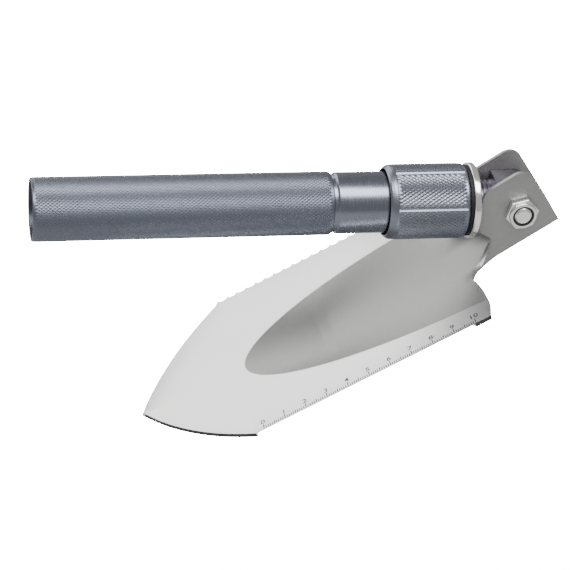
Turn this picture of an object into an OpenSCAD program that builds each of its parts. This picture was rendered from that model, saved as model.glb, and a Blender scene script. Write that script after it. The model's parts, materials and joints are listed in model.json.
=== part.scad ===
// Folding camp shovel: a knurled tube handle, a screw collar that locks the
// hinge, and one pressed blade with a saw edge and a ground ruler edge.
// The origin is the centre of the handle's open end. +X runs along the handle
// to the hinge, +Y along the pivot bolt to its head, and +Z is up.
// The blade is drawn folded under the handle.

/* [Handle] */
// Outside diameter of the knurled tube
handle_d = 27.3; // [24:0.1:33]
// Wall of the knurled tube
handle_wall = 1.4; // [1:0.1:2]
// Length of the knurled tube
handle_len = 127; // [90:1:180]
// Outside diameter of the smooth ferrule
ferrule_d = 26.4; // [25:0.1:28]
// Length of ferrule that shows between tube and collar
ferrule_show = 23.7; // [18:0.1:40]
// Length of ferrule inside the collar
ferrule_hidden = 10; // [8:0.5:14]
// Length of the ferrule's spigot inside the tube
spigot_len = 14; // [8:0.5:25]
// Bore of the ferrule's spigot
spigot_bore_d = 20; // [12:0.5:20.5]

/* [Stem and hinge block] */
// Outside diameter of the stem's thread
stem_d = 18; // [14:0.5:19]
// Pitch of the stem's thread
thread_pitch = 2; // [1.5:0.25:3]
// Depth of the stem's thread
thread_depth = 0.9; // [0.5:0.05:1.2]
// Length of stem screwed into the ferrule
stem_grip = 20; // [12:0.5:22]
// Diameter of the pin that locks the stem in the ferrule
stem_pin_d = 4; // [2:0.5:5]
// Width of the hinge block between the ears
block_w = 18; // [14:0.5:20]
// Height of the hinge block
block_h = 19.4; // [16:0.2:21]
// Length of the block from its shoulder to the pivot
block_back = 9.8; // [8:0.2:11]

/* [Lock collar] */
// Outside diameter of the collar
collar_d = 32.5; // [31:0.1:36]
// Length of the collar's knurled sleeve
collar_len = 35.1; // [30:0.1:45]
// Gap all round between the ferrule and the collar's mouth
mouth_gap = 1.1; // [0.8:0.1:1.5]
// Length of the taper at the collar's mouth
mouth_taper = 4.4; // [1:0.1:6]
// Depth of the collar's mouth
mouth_depth = 19; // [18:0.5:24]
// Number of grooves along the collar
groove_count = 6; // [4:1:12]
// Turn of the first groove from the top
groove_turn = 14.6; // [0:0.1:60]
// Width of a groove along the collar
groove_w = 1.6; // [1:0.1:3]
// Depth of a groove along the collar
groove_depth = 0.8; // [0.3:0.1:1.2]
// Diameter of the collar's nose inside the clamp washer
nose_d = 20.5; // [20.5:0.1:24]
// Thickness of the black friction ring
ring_t = 1.4; // [0.8:0.1:2.5]
// Outside diameter of the black friction ring
ring_d = 30.8; // [28:0.1:31]
// Thickness of the clamp washer
washer_t = 2.9; // [2:0.1:4]
// Outside diameter of the clamp washer
washer_d = 32.8; // [30:0.1:36]

/* [Blade] */
// Thickness of the blade's sheet
sheet_t = 1.8; // [1.4:0.1:2.2]
// Angle between the folded blade and the handle
fold_angle = 30; // [25:0.5:40]
// Angle between the blade's rim and the web between its ears
lift_angle = 5; // [2:0.5:8]
// Height of the pivot over the rim's upper face
rim_drop = 12.2; // [11:0.1:14]
// Distance from the pivot to the blade's shoulders
shoulder_u = 30; // [28:0.5:34]
// Distance from the pivot to the end of the straight sides
side_end_u = 142; // [120:1:170]
// Distance from the pivot to the tip
tip_u = 189; // [160:1:215]
// Width of the blade between its straight sides
blade_w = 104; // [86:1:126]
// Radius of the curved sides of the point
point_r = 140; // [125:1:220]
// How far the rim dishes between its edge and the trough
dish_depth = 3; // [0:0.1:4]
// Half width of the trough at the shoulders
trough_hw = 38; // [28:0.5:42]
// Distance from the pivot to the end of the trough
trough_end_u = 139; // [112:1:160]
// Depth of the trough's floor under the rim at the shoulders
trough_start_depth = 3.9; // [3:0.1:5]
// Steepest fall of the trough's walls, as depth over half width
trough_fall = 0.27; // [0.15:0.01:0.32]
// Spacing of the saw teeth
tooth_pitch = 4.83; // [3:0.01:7]
// Height of the saw teeth
tooth_h = 1.3; // [0.6:0.1:2]
// Width of the grind under the ruler edge
grind_w = 5; // [3:0.5:7]

/* [Ears and bolt] */
// Distance from the pivot to the ears' end
ear_end = 12; // [10:0.2:13]
// Distance from the pivot to the ears' free edge
ear_top = 17.4; // [15:0.2:19]
// Radius of the ears' outer corner
ear_corner_r = 6; // [3:0.2:8]
// Distance from the pivot to the underside of the web
web_drop = 15.2; // [15.2:0.1:17]
// Radius of the bends between web and ears, on the outside
bend_r = 3.4; // [2.6:0.1:5]
// Diameter of the pivot bolt
bolt_d = 8; // [6:0.5:8]
// Width across the flats of the bolt's head and nut
hex_af = 13; // [10:0.5:14]
// Thickness of the bolt's head
head_t = 5.3; // [4:0.1:7]
// Thickness of the nut's hexagon
nut_hex_t = 2.9; // [2:0.1:5]
// Height of the nut's round collar
nut_collar_t = 1.5; // [1.2:0.1:3]
// Diameter of the nut's round collar
nut_collar_d = 12.2; // [10.2:0.1:12.6]

/* [Hidden] */
$fn = 96;

run_clear = 0.07;       // radial clearance of a running fit
seat_clear = 0.05;      // clearance of a fixed seat
ear_clear = 0.2;        // gap on each side between block and ear
sweep_clear = 0.15;     // gap between the ears' sweep and the washer
eps = 0.01;

handle_bore_d = handle_d - 2 * handle_wall;
spigot_seat_d = handle_bore_d + 0.4;
spigot_d = spigot_seat_d - 2 * seat_clear;
ferrule_end = handle_len + ferrule_show + ferrule_hidden;
collar_start = handle_len + ferrule_show;
collar_end = collar_start + collar_len;
ring_start = collar_end + seat_clear;
washer_start = ring_start + ring_t;
washer_face = washer_start + washer_t;
mouth_d = ferrule_d + 2 * mouth_gap;
thread_bore_d = stem_d + 2 * run_clear;
nose_bore_d = nose_d + 2 * run_clear;

// The ears' outer corner is the point that swings nearest to the washer.
ear_sweep = norm([ear_end - ear_corner_r, ear_top - ear_corner_r]) + ear_corner_r;
pivot_x = washer_face + ear_sweep + sweep_clear;
neck_flat = ear_sweep - 1.3;
ear_angle = fold_angle + lift_angle;
ear_gap = max(block_w, stem_d) + 2 * ear_clear;
ear_out = ear_gap / 2 + sheet_t;
neck_end = shoulder_u + 2;
shank_clear = 0.05;
bolt_tip_y = ear_out + nut_hex_t + nut_collar_t + 0.3;

// ---- helpers ----

// Turns a shape drawn along +Z so that it lies along +X.
module along_x() { rotate([0, 90, 0]) children(); }

// Turns a shape drawn along +Z so that it lies along +Y.
module along_y() { rotate([-90, 0, 0]) children(); }

// Points of an arc about a centre, from one angle to another.
function arc(c, r, a0, a1, n) =
    [for (i = [0:n]) c + r * [cos(a0 + (a1 - a0) * i / n), sin(a0 + (a1 - a0) * i / n)]];

// Points of a cubic curve with four control points.
function cubic(a, b, c, d, n) =
    [for (i = [0:n]) let (t = i / n, s = 1 - t)
        s * s * s * a + 3 * s * s * t * b + 3 * s * t * t * c + t * t * t * d];

// Solid of revolution about X, from a list of [x, radius] points.
module turned(profile) {
    along_x() rotate_extrude() polygon([for (p = profile) [p[1], p[0]]]);
}

// Places a shape drawn in the blade's own frame: its +X runs from the pivot to
// the tip, and its +Z is the side that faces the handle when folded.
module on_blade(angle) {
    translate([pivot_x, 0, 0]) rotate([0, angle, 180]) children();
}

// ---- handle ----

module handle_tube() {
    color("slategray") {
        r_out = handle_d / 2;
        r_in = handle_bore_d / 2;
        r_seat = spigot_seat_d / 2;
        bore_len = handle_len - spigot_len;
        edge = 0.5;
        turned([
            [0, r_in], [0, r_out - edge], [edge, r_out],
            [handle_len - edge, r_out], [handle_len, r_out - edge], [handle_len, r_seat],
            [bore_len, r_seat], [bore_len, r_in]
        ]);
    }
}

module ferrule() {
    color("lightslategray") {
        r = ferrule_d / 2;
        step_r = r - 0.6;
        step_x = handle_len + 1.6;
        stem_seat = ferrule_end - stem_grip;
        spigot_start = handle_len - spigot_len + seat_clear;
        difference() {
            turned([
                [spigot_start, spigot_bore_d / 2],
                [spigot_start, spigot_d / 2], [handle_len, spigot_d / 2],
                [handle_len, step_r], [step_x, step_r], [step_x + 0.8, r],
                [ferrule_end - 0.5, r], [ferrule_end, r - 0.5],
                [ferrule_end, stem_d / 2 + seat_clear],
                [stem_seat - 1, stem_d / 2 + seat_clear],
                [stem_seat - 1, spigot_bore_d / 2]
            ]);
            stem_pin_hole();
        }
    }
}

stem_pin_x = ferrule_end - ferrule_hidden / 2;

module stem_pin_hole() {
    translate([stem_pin_x, 0, -ferrule_d])
        cylinder(d = stem_pin_d + 2 * seat_clear, h = 2 * ferrule_d);
}

module stem_pin() {
    color("silver")
        translate([stem_pin_x, 0, 1 - ferrule_d / 2])
            cylinder(d = stem_pin_d, h = ferrule_d - 2);
}

// Crests and roots of the stem's thread, as rings of the right pitch.
function thread_profile(x0, x1) =
    let (r = stem_d / 2, n = floor((x1 - x0) / thread_pitch))
    [for (i = [0:n - 1]) let (x = x0 + i * thread_pitch)
        each [[x, r], [x + 0.4 * thread_pitch, r - thread_depth],
              [x + 0.55 * thread_pitch, r - thread_depth], [x + 0.9 * thread_pitch, r]]];

module stem() {
    color("gray") {
        shoulder_x = pivot_x - block_back;
        stem_start = ferrule_end - stem_grip;
        difference() {
            union() {
                turned(concat(
                    [[stem_start, 0], [stem_start, stem_d / 2]],
                    thread_profile(ferrule_end + 1, shoulder_x - 0.5),
                    [[shoulder_x + 0.5, stem_d / 2], [shoulder_x + 0.5, 0]]
                ));
                translate([shoulder_x, -block_w / 2, -block_h / 2])
                    cube([block_back, block_w, block_h]);
                translate([pivot_x, -block_w / 2, 0])
                    along_y() cylinder(d = block_h, h = block_w);
            }
            translate([pivot_x, -block_w, 0])
                along_y() cylinder(d = bolt_d + 2 * shank_clear, h = 2 * block_w);
            stem_pin_hole();
        }
    }
}

// ---- lock collar ----

module lock_collar() {
    color("lightslategray") {
        r = collar_d / 2;
        edge = 1.4;
        groove_end = 3;
        difference() {
            turned([
                [collar_start, mouth_d / 2], [collar_start, r - edge],
                [collar_start + mouth_taper, r], [collar_end - edge, r],
                [collar_end, r - edge], [collar_end, nose_d / 2],
                [washer_face - 0.1, nose_d / 2],
                [washer_face - 0.1, thread_bore_d / 2],
                [collar_start + mouth_depth, thread_bore_d / 2],
                [collar_start + mouth_depth, mouth_d / 2]
            ]);
            for (i = [0:groove_count - 1])
                rotate([360 * i / groove_count + groove_turn, 0, 0])
                    translate([collar_start + groove_end, -groove_w / 2, r - groove_depth])
                        cube([collar_len - 2 * groove_end, groove_w, 2 * groove_depth]);
        }
    }
}

module friction_ring() {
    color("black")
        turned([
            [ring_start, nose_bore_d / 2], [ring_start, ring_d / 2],
            [washer_start, ring_d / 2], [washer_start, nose_bore_d / 2]
        ]);
}

module clamp_washer() {
    color("white") {
        r = washer_d / 2;
        edge = 0.4;
        turned([
            [washer_start, nose_bore_d / 2], [washer_start, r - edge],
            [washer_start + edge, r], [washer_face - edge, r],
            [washer_face, r - edge], [washer_face, nose_bore_d / 2]
        ]);
    }
}

// ---- blade ----

// Side outline of ears and web, in the ears' frame: [along, up] from the pivot.
neck_foot = neck_flat * [cos(ear_angle), sin(ear_angle)];
neck_up = [-sin(ear_angle), cos(ear_angle)];
neck_lobe = neck_foot - 10 * neck_up;
neck_meet_a = ear_angle + acos(neck_flat / ear_sweep);
notch = [neck_foot[0] + 2.9, -3.6];
neck_low = [neck_end, 2 * sheet_t - web_drop];

ear_outline = concat(
    [[-ear_end, -web_drop]],
    arc([ear_corner_r - ear_end, ear_top - ear_corner_r], ear_corner_r, 180, 90, 8),
    arc([0, 0], ear_sweep, asin(ear_top / ear_sweep), neck_meet_a, 3),
    [neck_lobe],
    cubic(notch, notch - [0, 5.9], neck_low + [-5, 2.4], neck_low, 10),
    [[neck_end, -web_drop]]
);

// Cross-section of ears and web: [across, up] from the pivot.
function half_channel(off, r) =
    let (y = ear_out - off, z = -web_drop + off)
    concat([[y, ear_top + 1]], arc([y - r, z + r], r, 0, -90, 6));

function flipped(pts) = [for (p = pts) [-p[0], p[1]]];
function reversed(pts) = [for (i = [len(pts) - 1:-1:0]) pts[i]];

module channel_profile() {
    outer = half_channel(0, bend_r);
    inner = half_channel(sheet_t, bend_r - sheet_t);
    polygon(concat(outer, reversed(flipped(outer)), flipped(inner), reversed(inner)));
}

module ears() {
    difference() {
        intersection() {
            rotate([90, 0, 0]) translate([0, 0, -ear_out - 1])
                linear_extrude(2 * ear_out + 2) polygon(ear_outline);
            translate([-ear_end - 1, 0, 0]) rotate([90, 0, 90])
                linear_extrude(neck_end + ear_end + 2) channel_profile();
        }
        translate([0, -2 * ear_out, 0])
            along_y() cylinder(d = bolt_d + 2 * shank_clear, h = 4 * ear_out);
    }
}

// Half width of the blade at a distance from the pivot.
point_start = [side_end_u, blade_w / 2];
point_chord = [tip_u, 0] - point_start;
point_mid = ([tip_u, 0] + point_start) / 2;
point_dir = point_chord / norm(point_chord);
point_c = point_mid + sqrt(pow(point_r, 2) - pow(norm(point_chord) / 2, 2))
    * [point_dir[1], -point_dir[0]];

function half_w(u) = u <= side_end_u ? blade_w / 2
    : point_c[1] + sqrt(max(0, pow(point_r, 2) - pow(u - point_c[0], 2)));

// Half width of the trough.
function trough(u) = let (x = (u - shoulder_u) / (trough_end_u - shoulder_u))
    x < 1 ? trough_hw * sqrt(1 - pow(max(x, 0), 1.7)) : 0;

// Fall of the dished rim at a distance from its edge.
function dish(e) = dish_depth * (1 - exp(-e / 18));

// Depth of the trough under its own crease.
function trough_depth(u) = let (c = trough(u))
    max(0, min(trough_fall * c,
        trough_start_depth + tan(lift_angle) * (u - shoulder_u) - dish(half_w(u) - c)));

// Height of the blade's upper face over the pivot.
function face_z(u, v) = let (c = trough(u), w = half_w(u), a = abs(v))
    -rim_drop - dish(w - max(a, c))
    - (a < c ? trough_depth(u) * (1 - pow(a / c, 2)) : 0);

tip_blunt = 0.7;
stations = concat(
    [for (i = [0:15]) shoulder_u + (trough_end_u - 3 - shoulder_u) * i / 15],
    [trough_end_u - 1, trough_end_u, side_end_u],
    [for (i = [1:9]) side_end_u + (tip_u - tip_blunt - side_end_u) * i / 9]
);
inner_cols = 6;
outer_cols = 4;

// Places across one half of a station: trough first, then rim.
function across(u) =
    let (w = half_w(u), c = max(trough(u), 0.2 * w))
    concat([for (i = [0:inner_cols - 1]) c * i / inner_cols],
        [for (i = [0:outer_cols]) c + (w - c) * i / outer_cols]);

function row(u) = let (h = across(u), n = len(h))
    concat([for (i = [n - 1:-1:1]) -h[i]], h);

cols = 2 * (inner_cols + outer_cols) + 1;
rows = len(stations);

module dish_shell() {
    top = [for (u = stations) for (v = row(u)) [u, v, face_z(u, v)]];
    low = [for (p = top) p - [0, 0, sheet_t]];
    n = len(top);
    function at(i, j) = i * cols + j;
    faces = concat(
        [for (i = [0:rows - 2]) for (j = [0:cols - 2])
            each [[at(i, j), at(i, j + 1), at(i + 1, j + 1)],
                  [at(i, j), at(i + 1, j + 1), at(i + 1, j)]]],
        [for (i = [0:rows - 2]) for (j = [0:cols - 2])
            each [[n + at(i, j), n + at(i + 1, j + 1), n + at(i, j + 1)],
                  [n + at(i, j), n + at(i + 1, j), n + at(i + 1, j + 1)]]],
        [for (i = [0:rows - 2]) for (j = [0, cols - 1])
            let (a = at(i, j), b = at(i + 1, j))
            each j == 0 ? [[a, b, n + b], [a, n + b, n + a]]
                : [[a, n + b, b], [a, n + a, n + b]]],
        [for (j = [0:cols - 2]) for (i = [0, rows - 1])
            let (a = at(i, j), b = at(i, j + 1))
            each i == 0 ? [[a, n + b, b], [a, n + a, n + b]]
                : [[a, b, n + b], [a, n + b, n + a]]]
    );
    polyhedron(concat(top, low), faces);
}

// Saw teeth along the side that faces away from the nut.
module saw_teeth() {
    y0 = -blade_w / 2;
    count = floor((side_end_u - shoulder_u - 6) / tooth_pitch);
    first = side_end_u - count * tooth_pitch;
    outline = concat(
        [[side_end_u, y0 + 0.3], [first, y0 + 0.3], [first, y0]],
        [for (i = [1:count]) let (x = first + i * tooth_pitch)
            each [[x - 0.8 * tooth_pitch, y0 - 0.1 * tooth_h],
                  [x - 0.4 * tooth_pitch, y0 - 0.1 * tooth_h],
                  [x - 0.15 * tooth_pitch, y0 - 0.35 * tooth_h], [x - 0.2, y0 - tooth_h],
                  [x, y0]]]
    );
    translate([0, 0, -rim_drop - sheet_t])
        linear_extrude(sheet_t) polygon(outline);
}

// Wedge ground away under the ruler edge.
module ruler_grind() {
    y1 = blade_w / 2;
    z0 = -rim_drop - sheet_t;
    start = shoulder_u + 9;
    translate([start, 0, 0]) rotate([90, 0, 90])
        linear_extrude(side_end_u - start)
            polygon([[y1 - grind_w, z0 - 2], [y1 + 1, z0 - 2], [y1 + 1, -rim_drop - 0.1],
                     [y1, -rim_drop - 0.35], [y1 - grind_w, z0 - dish(grind_w)]]);
}

module blade() {
    color("gainsboro") {
        on_blade(fold_angle)
            difference() {
                union() {
                    dish_shell();
                    saw_teeth();
                }
                ruler_grind();
            }
        on_blade(ear_angle) ears();
    }
}

// ---- pivot bolt and nut ----

module hexagon(y, t) {
    translate([pivot_x, y, 0]) along_y() rotate([0, 0, 15])
        cylinder(d = hex_af / cos(30), h = t, $fn = 6);
}

module pivot_bolt() {
    color("silver") {
        point = 0.7;
        r = bolt_d / 2;
        hexagon(ear_out, head_t);
        translate([pivot_x, -bolt_tip_y, 0]) along_y()
            rotate_extrude() polygon([
                [0, 0], [r - point, 0], [r, point],
                [r, bolt_tip_y + ear_out + 1], [0, bolt_tip_y + ear_out + 1]
            ]);
    }
}

nut_face_y = -ear_out - nut_hex_t;
insert_seat_d = bolt_d + 1.4;

module lock_nut() {
    color("silver")
        difference() {
            union() {
                hexagon(nut_face_y, nut_hex_t);
                translate([pivot_x, nut_face_y - nut_collar_t, 0])
                    along_y() cylinder(d = nut_collar_d, h = nut_collar_t + 1);
            }
            translate([pivot_x, -2 * bolt_tip_y, 0])
                along_y() cylinder(d = bolt_d + 2 * seat_clear, h = 3 * bolt_tip_y);
            translate([pivot_x, nut_face_y - nut_collar_t - eps, 0])
                along_y() cylinder(d = insert_seat_d, h = nut_collar_t);
        }
}

module nut_insert() {
    color("dimgray")
        difference() {
            translate([pivot_x, nut_face_y - nut_collar_t + 0.1, 0])
                along_y() cylinder(d = insert_seat_d - 2 * seat_clear, h = nut_collar_t - 0.2);
            translate([pivot_x, -2 * bolt_tip_y, 0])
                along_y() cylinder(d = bolt_d + 2 * seat_clear, h = 3 * bolt_tip_y);
        }
}

handle_tube();
ferrule();
stem();
stem_pin();
lock_collar();
friction_ring();
clamp_washer();
blade();
pivot_bolt();
lock_nut();
nut_insert();
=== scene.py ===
"""Folding camp shovel: the visible pieces and finishes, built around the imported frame.

The frame is loaded first, so sizes can come from its boxes. Lengths in this file are in
millimetres and are turned to metres where a mesh is made. The handle lies along +X, the pivot
bolt along Y, and the blade is drawn in its own frame: u runs from the pivot to the tip, v
across to the ruler edge, and w towards the handle.
"""

import json
import math

import bmesh
import bpy
from mathutils import Matrix, Vector


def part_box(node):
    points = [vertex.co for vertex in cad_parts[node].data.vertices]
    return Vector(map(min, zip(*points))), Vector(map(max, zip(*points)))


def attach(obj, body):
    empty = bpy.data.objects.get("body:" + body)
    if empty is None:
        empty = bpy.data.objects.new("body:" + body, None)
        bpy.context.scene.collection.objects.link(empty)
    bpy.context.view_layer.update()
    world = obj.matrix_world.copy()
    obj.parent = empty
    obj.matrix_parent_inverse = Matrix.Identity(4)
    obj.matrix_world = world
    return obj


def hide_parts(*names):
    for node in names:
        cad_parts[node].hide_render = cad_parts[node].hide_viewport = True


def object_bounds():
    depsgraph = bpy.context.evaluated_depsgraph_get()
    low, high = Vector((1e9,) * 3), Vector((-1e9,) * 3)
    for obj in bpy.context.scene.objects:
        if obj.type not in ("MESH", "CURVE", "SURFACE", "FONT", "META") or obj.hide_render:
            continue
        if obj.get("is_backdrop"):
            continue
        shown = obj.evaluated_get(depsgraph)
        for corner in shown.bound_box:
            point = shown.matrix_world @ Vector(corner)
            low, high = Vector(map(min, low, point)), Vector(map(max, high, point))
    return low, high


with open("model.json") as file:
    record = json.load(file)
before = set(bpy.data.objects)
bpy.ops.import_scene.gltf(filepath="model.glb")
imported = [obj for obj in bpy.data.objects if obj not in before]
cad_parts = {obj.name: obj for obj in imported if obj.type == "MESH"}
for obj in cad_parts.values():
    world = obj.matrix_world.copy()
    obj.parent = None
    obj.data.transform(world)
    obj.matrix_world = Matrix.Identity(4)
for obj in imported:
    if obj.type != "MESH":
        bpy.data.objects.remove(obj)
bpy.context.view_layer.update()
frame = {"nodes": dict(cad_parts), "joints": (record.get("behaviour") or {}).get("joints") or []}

bl_info = {
    "name": "Folding camp shovel",
    "version": (1, 0, 0),
    "blender": (4, 5, 0),
    "location": "3D View > Sidebar > Shovel",
    "description": "Builds the visible pieces of a folding camp shovel around its frame",
    "category": "Object",
}

MM = 0.001


# ---- the frame's sizes, in millimetres ----

def node_box(name):
    low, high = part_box(name)
    return low / MM, high / MM


def joint_place(name):
    for joint in frame["joints"]:
        if joint["name"] == name:
            return Vector(joint["pos_m"]) / MM
    raise RuntimeError(f"the frame has no joint named {name}")


PIVOT = joint_place("blade_fold")
TUBE_HIGH = node_box("handle_tube")[1]
FERRULE_LOW, FERRULE_HIGH = node_box("ferrule")
COLLAR_LOW, COLLAR_HIGH = node_box("lock_collar")
RING_LOW, RING_HIGH = node_box("friction_ring")
WASHER_LOW, WASHER_HIGH = node_box("clamp_washer")
BOLT_LOW, BOLT_HIGH = node_box("pivot_bolt")
NUT_LOW, NUT_HIGH = node_box("lock_nut")
INSERT_LOW, INSERT_HIGH = node_box("nut_insert")

# Angles to the handle: of the blade's rim and of the web between the ears.
FOLD_ANGLE = math.radians(30)
EAR_ANGLE = math.radians(35)
LIFT = EAR_ANGLE - FOLD_ANGLE


# ---- settings ----

class KnurlSettings(bpy.types.PropertyGroup):
    tube_round: bpy.props.FloatProperty(
        name="Tube pitch round", description="Width of a diamond round the tube, in millimetres",
        default=1.39, min=0.8, max=3.0)
    tube_along: bpy.props.FloatProperty(
        name="Tube pitch along", description="Length of a diamond along the tube, in millimetres",
        default=1.85, min=0.8, max=3.0)
    collar_round: bpy.props.FloatProperty(
        name="Collar pitch round", description="Width of a diamond round the collar, in millimetres",
        default=1.5, min=0.8, max=3.0)
    collar_along: bpy.props.FloatProperty(
        name="Collar pitch along", description="Length of a diamond along the collar, in millimetres",
        default=2.4, min=0.8, max=3.0)
    tube_depth: bpy.props.FloatProperty(
        name="Tube depth", description="Height of a tube's diamond, in millimetres",
        default=0.18, min=0.1, max=0.8)
    collar_depth: bpy.props.FloatProperty(
        name="Collar depth", description="Height of a collar's diamond, in millimetres",
        default=0.24, min=0.1, max=0.8)
    tube_colour: bpy.props.StringProperty(
        name="Tube colour", description="Colour of the anodised tube as sRGB hex",
        default="6A6E79")
    colour: bpy.props.StringProperty(
        name="Collar colour", description="Colour of the collar and ferrule as sRGB hex",
        default="7E828D")


class BladeSettings(bpy.types.PropertyGroup):
    sheet: bpy.props.FloatProperty(
        name="Sheet", description="Thickness of the blade's sheet, in millimetres",
        default=1.8, min=1.0, max=3.0)
    tooth_pitch: bpy.props.FloatProperty(
        name="Tooth pitch", description="Distance between saw teeth, in millimetres",
        default=4.83, min=3.0, max=7.0)
    tooth_height: bpy.props.FloatProperty(
        name="Tooth height", description="Height of a saw tooth, in millimetres",
        default=1.5, min=0.5, max=2.0)
    rim_colour: bpy.props.StringProperty(
        name="Rim colour", description="Colour of the ground rim as sRGB hex", default="F6F6F5")
    trough_colour: bpy.props.StringProperty(
        name="Trough colour", description="Colour of the blasted trough and ears as sRGB hex",
        default="9E9E9D")


class RulerSettings(bpy.types.PropertyGroup):
    number_height: bpy.props.FloatProperty(
        name="Number height", description="Height of the ruler's numbers, in millimetres",
        default=3.2, min=1.0, max=5.0)
    line_width: bpy.props.FloatProperty(
        name="Line width", description="Width of the ruler's marks, in millimetres",
        default=0.4, min=0.1, max=0.6)


# ---- mesh helpers ----

def deselect():
    bpy.ops.object.select_all(action="DESELECT")


def activate(piece):
    deselect()
    piece.select_set(True)
    bpy.context.view_layer.objects.active = piece


def name_piece(name):
    piece = bpy.context.active_object
    piece.name = name
    piece.data.name = name
    return piece


def edit(piece):
    activate(piece)
    bpy.ops.object.mode_set(mode="EDIT")
    bpy.ops.mesh.select_mode(type="VERT")


def leave_edit():
    bpy.ops.object.mode_set(mode="OBJECT")


def select_by(piece, kind, test):
    """Selects the verts, edges or faces of a piece in edit mode that pass a test."""
    bpy.ops.mesh.select_mode(type={"verts": "VERT", "edges": "EDGE", "faces": "FACE"}[kind])
    bpy.ops.mesh.select_all(action="DESELECT")
    mesh = bmesh.from_edit_mesh(piece.data)
    for item in getattr(mesh, kind):
        if test(item):
            item.select_set(True)
    mesh.select_flush_mode()
    bmesh.update_edit_mesh(piece.data)


def apply_modifier(piece, kind, name, **settings):
    activate(piece)
    modifier = piece.modifiers.new(name, kind)
    for key, value in settings.items():
        setattr(modifier, key, value)
    bpy.ops.object.modifier_apply(modifier=name)


def round_edges(piece, width, segments=2, angle=35):
    """Breaks the sharp edges of a piece with a small bevel, width in millimetres."""
    apply_modifier(piece, "BEVEL", "broken edges", width=width * MM, segments=segments,
                   limit_method="ANGLE", angle_limit=math.radians(angle), use_clamp_overlap=True)


def smooth(piece, angle=32):
    activate(piece)
    bpy.ops.object.shade_smooth_by_angle(angle=math.radians(angle))


def tidy_shell(piece, distance=0.002):
    """Merges doubles and turns the faces outwards."""
    edit(piece)
    bpy.ops.mesh.select_all(action="SELECT")
    bpy.ops.mesh.remove_doubles(threshold=distance * MM)
    bpy.ops.mesh.normals_make_consistent(inside=False)
    leave_edit()


def apply_place(piece, matrix):
    """Moves a piece and applies the move, so that its place is in its mesh."""
    piece.matrix_world = matrix
    activate(piece)
    bpy.ops.object.transform_apply(location=True, rotation=True, scale=True)


# From an axis along +Z to one along +X or +Y.
AXIS_TURNS = {"X": Matrix.Rotation(math.pi / 2, 4, "Y"), "Y": Matrix.Rotation(-math.pi / 2, 4, "X")}


def turn_profile(name, profile, segments, axis, centre, fill):
    """Extrudes a circle through a profile of (along, radius) points about an axis."""
    deselect()
    start, radius = profile[0]
    bpy.ops.mesh.primitive_circle_add(vertices=segments, radius=radius * MM, fill_type=fill)
    piece = name_piece(name)
    edit(piece)
    bpy.ops.mesh.select_all(action="SELECT")
    bpy.ops.transform.translate(value=(0, 0, start * MM))
    for (z0, r0), (z1, r1) in zip(profile, profile[1:]):
        bpy.ops.mesh.extrude_region_move(
            TRANSFORM_OT_translate={"value": (0, 0, (z1 - z0) * MM)})
        scale = r1 / r0
        bpy.ops.transform.resize(value=(scale, scale, 1), center_override=(0, 0, z1 * MM))
    leave_edit()
    tidy_shell(piece)
    apply_place(piece, Matrix.Translation(Vector(centre) * MM) @ AXIS_TURNS[axis])
    return piece


def lathe(name, profile, segments, axis="X", centre=(0, 0, 0)):
    """Turns a closed profile into a ring or a tube."""
    return turn_profile(name, profile + profile[:1], segments, axis, centre, "NOTHING")


def rod(name, profile, segments, axis="X", centre=(0, 0, 0)):
    """Turns a solid rod, with a flat disc at each end."""
    return turn_profile(name, profile, segments, axis, centre, "NGON")


def join(pieces, name):
    activate(pieces[0])
    for piece in pieces:
        piece.select_set(True)
    bpy.ops.object.join()
    return name_piece(name)


# How near to the valley's radius, and to an end, a point counts as on it.
ON_RADIUS, ON_END = 0.02, 0.01
# Subdivide makes at most 100 cuts, so rows are cut in two passes, the first of these at most.
FIRST_PASS = 14


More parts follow.
